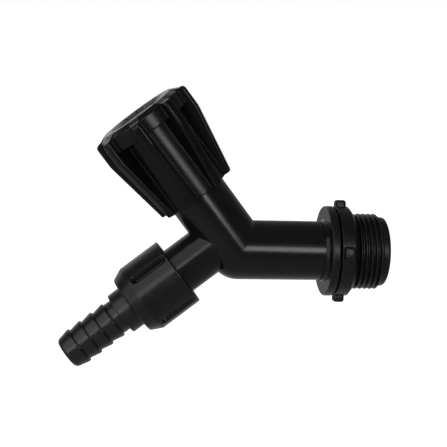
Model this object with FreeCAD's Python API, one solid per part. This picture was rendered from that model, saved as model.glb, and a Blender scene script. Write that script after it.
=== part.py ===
import FreeCAD, Part
import math
import os

from FreeCAD import Placement, Rotation, Vector

# Plastic garden tap of the screw-down kind, in millimetres.
# The inlet axis is X, with the water coming in from +X, and the handle stands up to the left.
# The origin is on the inlet axis at the shoulder where the inlet thread starts.
# Three local frames carry the pieces: inlet (x), tower (h) and outlet (o).
# Each has its own Z along its axis, so a piece is a profile of radii and stations.

# Layout of the three axes
TOWER_ANGLE = 52.0
OUTLET_TO_TOWER = 90.0
INLET_REACH = 40.2
BRANCH_RISE = 6.5

# Pipe threads, drawn as plain cylinders at their major radius
G12_MAJOR_R = 20.955 / 2
G34_MAJOR_R = 26.441 / 2
G34_ROOT_R = 24.117 / 2
THREAD_CLEARANCE = 0.05

# Clearances
FACE_GAP = 0.2
SEAL_GAP = 0.1
RUNNING_CLEARANCE = 0.08
LOOSE_CLEARANCE = 0.25
SAME_PLACE = 0.01

# Body tubes
TUBE_R = 10.3
WATERWAY_R = 7.0
OUTLET_TUBE_R = 8.6
OUTLET_BORE_R = 5.0
FLANGE_R = 15.7
FLANGE_THICKNESS = 3.0
FLANGE_ROUND = 0.6
FLANGE_COLLAR_R = 11.6
FLANGE_COLLAR_LENGTH = 1.0

# Inlet adapter with its lugs, and the gasket between it and the flange
LUG_RING_R = 15.7
LUG_RING_LENGTH = 4.4
LUG_TIP_R = 18.0
LUG_LENGTH = 3.7
LUG_WIDTH = 4.6
LUG_COUNT = 4
SHOULDER_LENGTH = 2.1
INLET_THREAD_LENGTH = 8.4
INLET_NOSE_LENGTH = 11.4
INLET_NOSE_ROUND = 1.2
THREAD_CHAMFER = 0.9
ADAPTER_LIP_R = 9.0
ADAPTER_LIP_THICKNESS = 1.6
FLANGE_JOINT_GAP = 0.5
GASKET_THICKNESS = 1.5
GASKET_WIDTH = 2.4
INLET_SPIGOT_END_GAP = 0.4

# Valve seat and chamber, as stations along the tower from the outlet's axis
SEAT_STATION = -4.4
SEAT_RIM_HEIGHT = 1.0
SEAT_RIM_WIDTH = 1.7
SEAT_HOLE_R = 4.3
CHAMBER_R = 7.2
CROSS_PORT_R = 3.8
CROSS_PORT_STATION = -11.2
CROSS_PORT_LENGTH = 8.0
WATERWAY_END = 7.5
TOWER_TOP = 23.0

# Bonnet that closes the tower and guides the spindle
BONNET_THREAD_R = 8.2
BONNET_BOTTOM = 10.0
BONNET_NECK_R = 7.8
BONNET_COLLAR_R = 10.0
BONNET_COLLAR_THICKNESS = 1.5
BONNET_HEX_ACROSS_FLATS = 17.0
BONNET_HEX_HEIGHT = 3.0
BONNET_GUIDE_R = 6.4
BONNET_TOP = 31.0
BONNET_RING_WIRE_R = 0.8

# Spindle
SPINDLE_THREAD_R = 5.0
SPINDLE_THREAD_LENGTH = 12.3
SPINDLE_STEM_R = 3.9
SPINDLE_LIFT = 5.5
STEM_RING_WIRE_R = 0.6
STEM_RING_GROOVE_WIDTH = 1.5
STEM_RING_SPACING = 3.0
SLIP_WASHER_THICKNESS = 0.6
SPLINE_TIP_R = 3.8
SPLINE_ROOT_R = 3.3
SPLINE_TEETH = 12
SPLINE_LENGTH = 8.5

# Jumper valve and its washer
JUMPER_DISC_R = 6.2
JUMPER_DISC_THICKNESS = 2.0
JUMPER_STEM_R = 2.2
JUMPER_STEM_LENGTH = 8.0
TAP_WASHER_R = 6.3
TAP_WASHER_THICKNESS = 2.5
TAP_WASHER_HOLE_R = 1.6
WASHER_SCREW_R = 1.5
WASHER_SCREW_HEAD_R = 3.0
WASHER_SCREW_HEAD_HEIGHT = 1.4
WASHER_SCREW_GRIP = 3.5

# Knob: eight tapered ribs on a round core under a round head
KNOB_BOTTOM = 17.9
KNOB_TOP = 52.2
KNOB_RIB_COUNT = 8
KNOB_RIB_WIDTH = 3.6
KNOB_RIB_ROUND = 1.1
KNOB_RIB_TOP_R = 18.5
KNOB_RIB_BOTTOM_R = 14.4
KNOB_TAPER_TOP = 42.2
KNOB_RIB_CROWN = 1.3
KNOB_RIB_CORNER_R = 1.5
KNOB_RIB_TURN = 33.4
KNOB_CORE_R = 12.3
KNOB_HEAD_R = 16.0
KNOB_HEAD_BOTTOM = 45.6
KNOB_HEAD_CHAMFER = 1.5
KNOB_DISC_R = 13.7
KNOB_SKIRT_R = 11.1
KNOB_SKIRT_DEPTH = 11.6
KNOB_GUIDE_POCKET_R = 7.0
KNOB_DISH_R = 11.4
KNOB_DISH_DEPTH = 0.9
KNOB_WEB_THICKNESS = 1.8
KNOB_SCREW_WELL_R = 5.0

# Cap and screw of the knob
CAP_R = 8.6
CAP_THICKNESS = 1.6
CAP_PLUG_LENGTH = 3.0
CAP_PLUG_WALL = 1.0
CAP_CROWN = 0.5
KNOB_SCREW_R = 1.7
KNOB_SCREW_HEAD_R = 3.4
KNOB_SCREW_HEAD_HEIGHT = 2.0
KNOB_SCREW_LENGTH = 9.0
KNOB_SCREW_SLOT_WIDTH = 0.8
KNOB_SCREW_SLOT_DEPTH = 0.9
SCREW_WASHER_R = 4.2
SCREW_WASHER_THICKNESS = 0.6

# Outlet spigot, union nut and hose tail, as stations along the outlet from the tower's axis
NUT_BACK = 21.4
NUT_LENGTH = 19.4
NUT_R = 12.2
NUT_CONE_LENGTH = 4.2
NUT_NOSE_R = 10.6
NUT_NOSE_ROUND = 0.9
NUT_WALL = 2.0
NUT_POCKET_R = 10.0
NUT_THREAD_LENGTH = 7.3
NUT_SLOT_COUNT = 4
NUT_SLOT_WIDTH = 2.4
NUT_SLOT_LENGTH = 14.0
NUT_SLOT_DEPTH = 0.7
NUT_SLOT_TURN = 32.0
SPIGOT_END = 34.0
TAIL_WASHER_THICKNESS = 1.9
TAIL_WASHER_BORE_R = 5.2
TAIL_FLANGE_R = 9.6
TAIL_FLANGE_THICKNESS = 2.4
TAIL_COLLAR_R = 7.7
TAIL_COLLAR_END = 45.7
TAIL_COLLAR_CHAMFER = 0.5
TAIL_BORE_R = 4.2
BARB_ROOT_R = 6.0
BARB_CREST_R = 6.65
BARB_COUNT = 4
BARB_PITCH = 4.8
BARB_FIRST_CREST = 49.2
BARB_CREST_LAND = 0.8
TAIL_LENGTH_PAST_CREST = 4.6
TAIL_MOUTH_CHAMFER = 0.4
TAIL_NOSE_ROUND = 1.2


def direction(angle_above_left):
    angle = math.radians(angle_above_left)
    return Vector(-math.cos(angle), 0, math.sin(angle))


def frame_along(origin, axis):
    # Local X points along the row's Y, away from a viewer in front of the tap
    turn = Rotation(Vector(0, 1, 0), Vector(0, 1, 0).cross(axis), axis, "ZXY")
    return Placement(origin, turn)


TOWER_AXIS = direction(TOWER_ANGLE)
OUTLET_AXIS = direction(TOWER_ANGLE - OUTLET_TO_TOWER)
BEND_POINT = Vector(-INLET_REACH, 0, 0)
BRANCH_POINT = BEND_POINT + TOWER_AXIS * BRANCH_RISE

INLET = frame_along(Vector(0, 0, 0), Vector(1, 0, 0))
TOWER = frame_along(BRANCH_POINT, TOWER_AXIS)
OUTLET = frame_along(BRANCH_POINT, OUTLET_AXIS)

PIECES = {}


def keep(name, shape, frame):
    piece = shape.removeSplitter()
    piece.Placement = frame.multiply(piece.Placement)
    PIECES[name] = piece


def rod(radius, start, end):
    return Part.makeCylinder(radius, end - start, Vector(0, 0, start), Vector(0, 0, 1))


def pipe(outer, inner, start, end):
    return rod(outer, start, end).cut(rod(inner, start, end))


def cone(start_radius, end_radius, start, end):
    return Part.makeCone(start_radius, end_radius, end - start, Vector(0, 0, start), Vector(0, 0, 1))


def turned(points):
    # A solid of revolution from (radius, station) points, closed through the last and first
    corners = [Vector(radius, 0, station) for radius, station in points]
    face = Part.Face(Part.makePolygon(corners + corners[:1]))
    return face.revolve(Vector(0, 0, 0), Vector(0, 0, 1), 360)


def ring_cord(centre_radius, wire_radius, station):
    return Part.makeTorus(centre_radius, wire_radius, Vector(0, 0, station), Vector(0, 0, 1))


def hexagon(across_flats, start, end):
    corner_r = across_flats / 2 / math.cos(math.pi / 6)
    corners = [
        Vector(corner_r * math.cos(k * math.pi / 3), corner_r * math.sin(k * math.pi / 3), start)
        for k in range(6)
    ]
    face = Part.Face(Part.makePolygon(corners + corners[:1]))
    return face.extrude(Vector(0, 0, end - start))


def round_ended_slot(width, start, end, floor):
    # A slot along Z that opens towards +X, from its floor outwards
    half = width / 2
    low, high = start + half, end - half
    sides = [
        Part.LineSegment(Vector(floor, -half, low), Vector(floor, -half, high)),
        Part.Arc(Vector(floor, -half, high), Vector(floor, 0, end), Vector(floor, half, high)),
        Part.LineSegment(Vector(floor, half, high), Vector(floor, half, low)),
        Part.Arc(Vector(floor, half, low), Vector(floor, 0, start), Vector(floor, -half, low)),
    ]
    face = Part.Face(Part.Wire([side.toShape() for side in sides]))
    return face.extrude(Vector(floor, 0, 0))


def around(shape, count, first_turn=0.0):
    copies = []
    for k in range(count):
        copy = shape.copy()
        copy.rotate(Vector(0, 0, 0), Vector(0, 0, 1), first_turn + k * 360.0 / count)
        copies.append(copy)
    return copies


def round_edges(solid, radius, wanted):
    edges = [edge for edge in solid.Edges if wanted(edge)]
    return solid.makeFillet(radius, edges)


def is_circle(edge, radius, station):
    if edge.Curve.TypeId != "Part::GeomCircle":
        return False
    same_radius = math.isclose(edge.Curve.Radius, radius, abs_tol=SAME_PLACE)
    return same_radius and math.isclose(edge.Curve.Center.z, station, abs_tol=SAME_PLACE)


# Stations that follow from the driving sizes
ADAPTER_FACE = -SHOULDER_LENGTH - LUG_RING_LENGTH
FLANGE_FACE = ADAPTER_FACE - FLANGE_JOINT_GAP
GASKET_OUTER_R = G12_MAJOR_R + GASKET_WIDTH
INLET_SPIGOT_END = INLET_NOSE_LENGTH - ADAPTER_LIP_THICKNESS - INLET_SPIGOT_END_GAP
CHAMBER_FLOOR = SEAT_STATION - SEAT_RIM_HEIGHT
WASHER_BOTTOM = SEAT_STATION + FACE_GAP
JUMPER_BOTTOM = WASHER_BOTTOM + TAP_WASHER_THICKNESS
JUMPER_TOP = JUMPER_BOTTOM + JUMPER_DISC_THICKNESS
SPINDLE_BOTTOM = JUMPER_TOP + FACE_GAP
SPINDLE_SHOULDER = SPINDLE_BOTTOM + SPINDLE_THREAD_LENGTH
SLIP_WASHER_BOTTOM = SPINDLE_SHOULDER + THREAD_CLEARANCE
BONNET_STEP = SLIP_WASHER_BOTTOM + SLIP_WASHER_THICKNESS + SPINDLE_LIFT + FACE_GAP
LOWER_STEM_RING = BONNET_STEP + STEM_RING_GROOVE_WIDTH / 2 + FACE_GAP
UPPER_STEM_RING = LOWER_STEM_RING + STEM_RING_SPACING
STEM_RING_CENTRE_R = SPINDLE_STEM_R + RUNNING_CLEARANCE - SEAL_GAP - STEM_RING_WIRE_R
KNOB_BOSS_BOTTOM = BONNET_TOP + LOOSE_CLEARANCE
SPLINE_BOTTOM = KNOB_BOSS_BOTTOM + LOOSE_CLEARANCE
SPINDLE_TOP = SPLINE_BOTTOM + SPLINE_LENGTH
KNOB_WEB_BOTTOM = SPINDLE_TOP + FACE_GAP
KNOB_WEB_TOP = KNOB_WEB_BOTTOM + KNOB_WEB_THICKNESS
SCREW_WASHER_TOP = KNOB_WEB_TOP + THREAD_CLEARANCE + SCREW_WASHER_THICKNESS
CAP_SEAT = KNOB_TOP - KNOB_DISH_DEPTH - CAP_THICKNESS
NUT_FRONT = NUT_BACK + NUT_LENGTH
NUT_INNER_FACE = NUT_FRONT - NUT_WALL
TAIL_FLANGE_TOP = NUT_INNER_FACE - FACE_GAP
TAIL_FLANGE_BOTTOM = TAIL_FLANGE_TOP - TAIL_FLANGE_THICKNESS
TAIL_WASHER_BOTTOM = SPIGOT_END + FACE_GAP
SPIGOT_THREAD_START = SPIGOT_END - NUT_THREAD_LENGTH
TAIL_END = BARB_FIRST_CREST + (BARB_COUNT - 1) * BARB_PITCH + TAIL_LENGTH_PAST_CREST


def tap_body():
    # Outside: three tubes that meet in a round elbow, a flange and two threaded spigots
    inlet_tube = rod(TUBE_R, -INLET_REACH, FLANGE_FACE)
    flange = rod(FLANGE_R, FLANGE_FACE - FLANGE_THICKNESS, FLANGE_FACE)
    flange = round_edges(flange, FLANGE_ROUND, lambda edge: edge.Curve.TypeId == "Part::GeomCircle")
    collar = cone(TUBE_R, FLANGE_COLLAR_R, FLANGE_FACE - FLANGE_THICKNESS - FLANGE_COLLAR_LENGTH,
                  FLANGE_FACE - FLANGE_THICKNESS + FLANGE_ROUND)
    spigot = rod(G12_MAJOR_R, FLANGE_FACE - FLANGE_ROUND, INLET_SPIGOT_END)
    inlet_side = inlet_tube.multiFuse([flange, collar, spigot])
    inlet_side.Placement = INLET
    elbow = Part.makeSphere(TUBE_R, BEND_POINT)
    tower_tube = rod(TUBE_R, -BRANCH_RISE, TOWER_TOP)
    tower_tube.Placement = TOWER
    outlet_tube = rod(OUTLET_TUBE_R, 0, SPIGOT_END)
    outlet_thread = rod(G12_MAJOR_R, SPIGOT_THREAD_START, SPIGOT_END)
    outlet_side = outlet_tube.fuse(outlet_thread)
    outlet_side.Placement = OUTLET
    outside = inlet_side.multiFuse([elbow, tower_tube, outlet_side])

    # Inside: the waterway turns under the seat, rises through it and leaves by the outlet
    chamber = rod(CHAMBER_R, CHAMBER_FLOOR, TOWER_TOP)
    bonnet_thread = rod(BONNET_THREAD_R + THREAD_CLEARANCE, BONNET_BOTTOM - LOOSE_CLEARANCE, TOWER_TOP)
    ring_recess_r = BONNET_NECK_R + 2 * BONNET_RING_WIRE_R + SEAL_GAP
    ring_recess = rod(ring_recess_r, TOWER_TOP - 2 * BONNET_RING_WIRE_R, TOWER_TOP)
    seat_rim = pipe(SEAT_HOLE_R + SEAT_RIM_WIDTH, SEAT_HOLE_R, CHAMBER_FLOOR, SEAT_STATION)
    seat_hole = rod(SEAT_HOLE_R, CROSS_PORT_STATION, SEAT_STATION)
    tower_cut = chamber.cut(seat_rim).multiFuse([bonnet_thread, ring_recess, seat_hole])
    tower_cut.Placement = TOWER
    cross_port = rod(CROSS_PORT_R, -CROSS_PORT_LENGTH, 0)
    port_point = BRANCH_POINT + TOWER_AXIS * CROSS_PORT_STATION
    cross_port.Placement = frame_along(port_point, OUTLET_AXIS)
    waterway = rod(WATERWAY_R, WATERWAY_END - INLET_REACH, INLET_SPIGOT_END)
    waterway.Placement = INLET
    outlet_bore = rod(OUTLET_BORE_R, 0, SPIGOT_END)
    outlet_bore.Placement = OUTLET
    return outside.cut(tower_cut).cut(cross_port).cut(waterway).cut(outlet_bore)


def inlet_adapter():
    # A reducing bush: female inside for the body's spigot, the larger male thread outside
    outside = turned([
        (0, ADAPTER_FACE),
        (LUG_RING_R, ADAPTER_FACE),
        (LUG_RING_R, -SHOULDER_LENGTH),
        (G34_MAJOR_R, 0),
        (G34_MAJOR_R, INLET_THREAD_LENGTH),
        (G34_ROOT_R, INLET_THREAD_LENGTH + THREAD_CHAMFER),
        (G34_ROOT_R, INLET_NOSE_LENGTH),
        (0, INLET_NOSE_LENGTH),
    ])
    outside = round_edges(outside, INLET_NOSE_ROUND,
                          lambda edge: is_circle(edge, G34_ROOT_R, INLET_NOSE_LENGTH))
    lug_start = ADAPTER_FACE + (LUG_RING_LENGTH - LUG_LENGTH) / 2
    lug_block = Part.makeBox(LUG_TIP_R, LUG_WIDTH, LUG_LENGTH, Vector(0, -LUG_WIDTH / 2, lug_start))
    lug = lug_block.common(rod(LUG_TIP_R, lug_start, lug_start + LUG_LENGTH))
    female_end = INLET_NOSE_LENGTH - ADAPTER_LIP_THICKNESS
    female = rod(G12_MAJOR_R + THREAD_CLEARANCE, ADAPTER_FACE, female_end)
    lip_hole = rod(ADAPTER_LIP_R, ADAPTER_FACE, INLET_NOSE_LENGTH)
    gasket_seat = rod(GASKET_OUTER_R + 2 * SEAL_GAP, ADAPTER_FACE, ADAPTER_FACE + GASKET_THICKNESS - FLANGE_JOINT_GAP)
    return outside.multiFuse(around(lug, LUG_COUNT)).cut(female).cut(lip_hole).cut(gasket_seat)


def bonnet():
    sleeve = rod(BONNET_THREAD_R, BONNET_BOTTOM, TOWER_TOP - 2 * BONNET_RING_WIRE_R)
    neck = rod(BONNET_NECK_R, BONNET_BOTTOM, TOWER_TOP + SEAL_GAP)
    collar_bottom = TOWER_TOP + SEAL_GAP
    collar_top = collar_bottom + BONNET_COLLAR_THICKNESS
    collar = rod(BONNET_COLLAR_R, collar_bottom, collar_top)
    head = hexagon(BONNET_HEX_ACROSS_FLATS, collar_top, collar_top + BONNET_HEX_HEIGHT)
    guide = rod(BONNET_GUIDE_R, collar_top, BONNET_TOP)
    thread_bore = rod(SPINDLE_THREAD_R + THREAD_CLEARANCE, BONNET_BOTTOM, BONNET_STEP)
    stem_bore = rod(SPINDLE_STEM_R + RUNNING_CLEARANCE, BONNET_STEP, BONNET_TOP)
    return sleeve.multiFuse([neck, collar, head, guide]).cut(thread_bore).cut(stem_bore)


def spline(clearance, start, end):
    # A coarse spline: the tips and roots alternate evenly round the shaft
    corners = []
    for k in range(SPLINE_TEETH):
        for part, radius in enumerate((SPLINE_TIP_R, SPLINE_TIP_R, SPLINE_ROOT_R, SPLINE_ROOT_R)):
            angle = 2 * math.pi * (k + part / 4) / SPLINE_TEETH
            reach = radius + clearance
            corners.append(Vector(reach * math.cos(angle), reach * math.sin(angle), start))
    face = Part.Face(Part.makePolygon(corners + corners[:1]))
    return face.extrude(Vector(0, 0, end - start))


def spindle():
    thread = rod(SPINDLE_THREAD_R, SPINDLE_BOTTOM, SPINDLE_SHOULDER)
    stem = rod(SPINDLE_STEM_R, SPINDLE_SHOULDER, SPLINE_BOTTOM)
    head = spline(0, SPLINE_BOTTOM, SPINDLE_TOP)
    solid = thread.multiFuse([stem, head])
    groove_r = STEM_RING_CENTRE_R - STEM_RING_WIRE_R - SEAL_GAP
    for station in (LOWER_STEM_RING, UPPER_STEM_RING):
        start = station - STEM_RING_GROOVE_WIDTH / 2
        solid = solid.cut(pipe(SPINDLE_THREAD_R, groove_r, start, start + STEM_RING_GROOVE_WIDTH))
    jumper_hole_end = JUMPER_TOP + JUMPER_STEM_LENGTH + LOOSE_CLEARANCE
    jumper_hole = rod(JUMPER_STEM_R + RUNNING_CLEARANCE, SPINDLE_BOTTOM, jumper_hole_end)
    screw_hole_start = SCREW_WASHER_TOP - KNOB_SCREW_LENGTH - LOOSE_CLEARANCE
    screw_hole = rod(KNOB_SCREW_R + THREAD_CLEARANCE, screw_hole_start, SPINDLE_TOP)
    return solid.cut(jumper_hole).cut(screw_hole)


def jumper_valve():
    disc = rod(JUMPER_DISC_R, JUMPER_BOTTOM, JUMPER_TOP)
    stem = rod(JUMPER_STEM_R, JUMPER_TOP, JUMPER_TOP + JUMPER_STEM_LENGTH)
    screw_hole_end = WASHER_BOTTOM + TAP_WASHER_THICKNESS + WASHER_SCREW_GRIP
    screw_hole = rod(WASHER_SCREW_R + THREAD_CLEARANCE, JUMPER_BOTTOM, screw_hole_end)
    return disc.fuse(stem).cut(screw_hole)


def tap_washer():
    return pipe(TAP_WASHER_R, TAP_WASHER_HOLE_R, WASHER_BOTTOM, JUMPER_BOTTOM)


def washer_screw():
    head = rod(WASHER_SCREW_HEAD_R, WASHER_BOTTOM - WASHER_SCREW_HEAD_HEIGHT, WASHER_BOTTOM)
    shank_end = WASHER_BOTTOM + TAP_WASHER_THICKNESS + WASHER_SCREW_GRIP - FACE_GAP
    return head.fuse(rod(WASHER_SCREW_R, WASHER_BOTTOM, shank_end))


def knob_rib():
    # One rib as a plate in the radial plane, with its two long outer edges rounded
    crown = KNOB_TOP - KNOB_RIB_CROWN
    outline = [
        Vector(0, 0, KNOB_BOTTOM),
        Vector(KNOB_RIB_BOTTOM_R, 0, KNOB_BOTTOM),
        Vector(KNOB_RIB_TOP_R, 0, KNOB_TAPER_TOP),
        Vector(KNOB_RIB_TOP_R, 0, crown),
        Vector(KNOB_DISC_R, 0, KNOB_TOP - KNOB_RIB_CROWN / 2),
        Vector(0, 0, KNOB_TOP - KNOB_RIB_CROWN / 2),
    ]
    face = Part.Face(Part.makePolygon(outline + outline[:1]))
    face.translate(Vector(0, -KNOB_RIB_WIDTH / 2, 0))
    plate = face.extrude(Vector(0, KNOB_RIB_WIDTH, 0))

    def is_top_corner(edge):
        centre = edge.CenterOfMass
        at_corner = math.isclose(centre.x, KNOB_RIB_TOP_R, abs_tol=SAME_PLACE)
        return at_corner and math.isclose(centre.z, crown, abs_tol=SAME_PLACE) and abs(centre.y) < SAME_PLACE

    def is_long_side(edge):
        centre = edge.CenterOfMass
        on_crest = centre.x > (KNOB_RIB_BOTTOM_R + KNOB_DISC_R) / 2 and abs(centre.y) > SAME_PLACE
        return on_crest

    plate = round_edges(plate, KNOB_RIB_CORNER_R, is_top_corner)
    return round_edges(plate, KNOB_RIB_ROUND, is_long_side)


def knob():
    core = rod(KNOB_CORE_R, KNOB_BOTTOM, KNOB_HEAD_BOTTOM)
    head = turned([
        (0, KNOB_HEAD_BOTTOM),
        (KNOB_HEAD_R, KNOB_HEAD_BOTTOM),
        (KNOB_HEAD_R, KNOB_TOP - KNOB_HEAD_CHAMFER),
        (KNOB_DISC_R, KNOB_TOP),
        (KNOB_DISH_R, KNOB_TOP),
        (CAP_R + SEAL_GAP, KNOB_TOP - KNOB_DISH_DEPTH),
        (0, KNOB_TOP - KNOB_DISH_DEPTH),
    ])
    solid = core.multiFuse([head] + around(knob_rib(), KNOB_RIB_COUNT, KNOB_RIB_TURN))
    skirt_top = KNOB_BOTTOM + KNOB_SKIRT_DEPTH
    cuts = [
        rod(KNOB_SKIRT_R, KNOB_BOTTOM, skirt_top),
        rod(KNOB_GUIDE_POCKET_R, KNOB_BOTTOM, KNOB_BOSS_BOTTOM),
        rod(SPINDLE_STEM_R + LOOSE_CLEARANCE, KNOB_BOSS_BOTTOM, SPLINE_BOTTOM),
        spline(THREAD_CLEARANCE, SPLINE_BOTTOM, KNOB_WEB_BOTTOM),
        rod(KNOB_SCREW_R + LOOSE_CLEARANCE, KNOB_WEB_BOTTOM, KNOB_WEB_TOP),
        rod(KNOB_SCREW_WELL_R, KNOB_WEB_TOP, KNOB_TOP),
        rod(CAP_R + SEAL_GAP, CAP_SEAT, KNOB_TOP),
    ]
    for cut in cuts:
        solid = solid.cut(cut)
    return solid


def knob_cap():
    disc = turned([
        (0, CAP_SEAT + THREAD_CLEARANCE),
        (CAP_R, CAP_SEAT + THREAD_CLEARANCE),
        (CAP_R, CAP_SEAT + CAP_THICKNESS - CAP_CROWN),
        (CAP_R - CAP_CROWN, CAP_SEAT + CAP_THICKNESS),
        (0, CAP_SEAT + CAP_THICKNESS),
    ])
    plug_r = KNOB_SCREW_WELL_R - THREAD_CLEARANCE
    plug = pipe(plug_r, plug_r - CAP_PLUG_WALL, CAP_SEAT - CAP_PLUG_LENGTH, CAP_SEAT + CAP_THICKNESS / 2)
    return disc.fuse(plug)


def knob_screw():
    head_top = SCREW_WASHER_TOP + KNOB_SCREW_HEAD_HEIGHT
    head = rod(KNOB_SCREW_HEAD_R, SCREW_WASHER_TOP + THREAD_CLEARANCE, head_top)
    head = round_edges(head, KNOB_SCREW_HEAD_HEIGHT / 2,
                       lambda edge: is_circle(edge, KNOB_SCREW_HEAD_R, head_top))
    shank = rod(KNOB_SCREW_R, SCREW_WASHER_TOP - KNOB_SCREW_LENGTH, head_top - KNOB_SCREW_SLOT_DEPTH)
    slot_corner = Vector(-KNOB_SCREW_HEAD_R, -KNOB_SCREW_SLOT_WIDTH / 2, head_top - KNOB_SCREW_SLOT_DEPTH)
    slot = Part.makeBox(2 * KNOB_SCREW_HEAD_R, KNOB_SCREW_SLOT_WIDTH, KNOB_SCREW_SLOT_DEPTH, slot_corner)
    return head.fuse(shank).cut(slot)


def knob_screw_washer():
    bottom = KNOB_WEB_TOP + THREAD_CLEARANCE
    return pipe(SCREW_WASHER_R, KNOB_SCREW_R + RUNNING_CLEARANCE, bottom, SCREW_WASHER_TOP)


def union_nut():
    outside = turned([
        (0, NUT_BACK),
        (NUT_R, NUT_BACK),
        (NUT_R, NUT_FRONT - NUT_CONE_LENGTH),
        (NUT_NOSE_R, NUT_FRONT),
        (0, NUT_FRONT),
    ])
    outside = round_edges(outside, NUT_NOSE_ROUND, lambda edge: is_circle(edge, NUT_NOSE_R, NUT_FRONT))
    thread_end = TAIL_WASHER_BOTTOM + SEAL_GAP
    female = rod(G12_MAJOR_R + RUNNING_CLEARANCE, NUT_BACK, thread_end)
    pocket = rod(NUT_POCKET_R, NUT_BACK, NUT_INNER_FACE)
    collar_hole = rod(TAIL_COLLAR_R + LOOSE_CLEARANCE, NUT_BACK, NUT_FRONT)
    # Grip slots: shallow round-ended grooves along the nut
    slot_end = NUT_FRONT - NUT_CONE_LENGTH
    slot = round_ended_slot(NUT_SLOT_WIDTH, slot_end - NUT_SLOT_LENGTH, slot_end, NUT_R - NUT_SLOT_DEPTH)
    solid = outside.cut(female).cut(pocket).cut(collar_hole)
    for copy in around(slot, NUT_SLOT_COUNT, NUT_SLOT_TURN):
        solid = solid.cut(copy)
    return solid


def hose_tail():
    profile = [
        (TAIL_BORE_R, TAIL_FLANGE_BOTTOM),
        (TAIL_FLANGE_R, TAIL_FLANGE_BOTTOM),
        (TAIL_FLANGE_R, TAIL_FLANGE_TOP),
        (TAIL_COLLAR_R, TAIL_FLANGE_TOP),
        (TAIL_COLLAR_R, TAIL_COLLAR_END - TAIL_COLLAR_CHAMFER),
        (TAIL_COLLAR_R - TAIL_COLLAR_CHAMFER, TAIL_COLLAR_END),
        (BARB_ROOT_R, TAIL_COLLAR_END),
    ]
    for k in range(BARB_COUNT):
        crest = BARB_FIRST_CREST + k * BARB_PITCH
        profile.append((BARB_ROOT_R, crest - BARB_CREST_LAND / 2))
        profile.append((BARB_CREST_R, crest - BARB_CREST_LAND / 2))
        profile.append((BARB_CREST_R, crest + BARB_CREST_LAND / 2))
        if k < BARB_COUNT - 1:
            profile.append((BARB_ROOT_R, crest + BARB_PITCH - BARB_CREST_LAND))
    profile.append((BARB_ROOT_R, TAIL_END))
    profile.append((TAIL_BORE_R + TAIL_MOUTH_CHAMFER, TAIL_END))
    profile.append((TAIL_BORE_R, TAIL_END - TAIL_MOUTH_CHAMFER))
    solid = turned(profile)
    return round_edges(solid, TAIL_NOSE_ROUND, lambda edge: is_circle(edge, BARB_ROOT_R, TAIL_END))


keep("tap_body", tap_body(), Placement())
keep("inlet_adapter", inlet_adapter(), INLET)
keep("inlet_gasket", pipe(GASKET_OUTER_R, G12_MAJOR_R + SEAL_GAP,
                          FLANGE_FACE, FLANGE_FACE + GASKET_THICKNESS), INLET)
keep("bonnet", bonnet(), TOWER)
keep("bonnet_seal_ring", ring_cord(BONNET_NECK_R + BONNET_RING_WIRE_R + SEAL_GAP / 2,
                                   BONNET_RING_WIRE_R, TOWER_TOP - BONNET_RING_WIRE_R), TOWER)
keep("spindle", spindle(), TOWER)
keep("stem_seal_ring_lower", ring_cord(STEM_RING_CENTRE_R, STEM_RING_WIRE_R, LOWER_STEM_RING), TOWER)
keep("stem_seal_ring_upper", ring_cord(STEM_RING_CENTRE_R, STEM_RING_WIRE_R, UPPER_STEM_RING), TOWER)
keep("slip_washer", pipe(SPINDLE_THREAD_R - SEAL_GAP, SPINDLE_STEM_R + RUNNING_CLEARANCE,
                         SLIP_WASHER_BOTTOM, SLIP_WASHER_BOTTOM + SLIP_WASHER_THICKNESS), TOWER)
keep("jumper_valve", jumper_valve(), TOWER)
keep("tap_washer", tap_washer(), TOWER)
keep("washer_screw", washer_screw(), TOWER)
keep("knob", knob(), TOWER)
keep("knob_cap", knob_cap(), TOWER)
keep("knob_screw", knob_screw(), TOWER)
keep("knob_screw_washer", knob_screw_washer(), TOWER)
keep("union_nut", union_nut(), OUTLET)
keep("hose_tail", hose_tail(), OUTLET)
keep("tail_washer", pipe(TAIL_FLANGE_R, TAIL_WASHER_BORE_R, TAIL_WASHER_BOTTOM,
                         TAIL_WASHER_BOTTOM + TAIL_WASHER_THICKNESS), OUTLET)

os.makedirs("parts", exist_ok=True)
for name, piece in PIECES.items():
    piece.exportStep("parts/" + name + ".step")
    print(name, "solids:", len(piece.Solids), "valid:", piece.isValid(), "volume:", round(piece.Volume))
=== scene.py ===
import math

import bpy
import bmesh
from mathutils import Matrix, Vector


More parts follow.
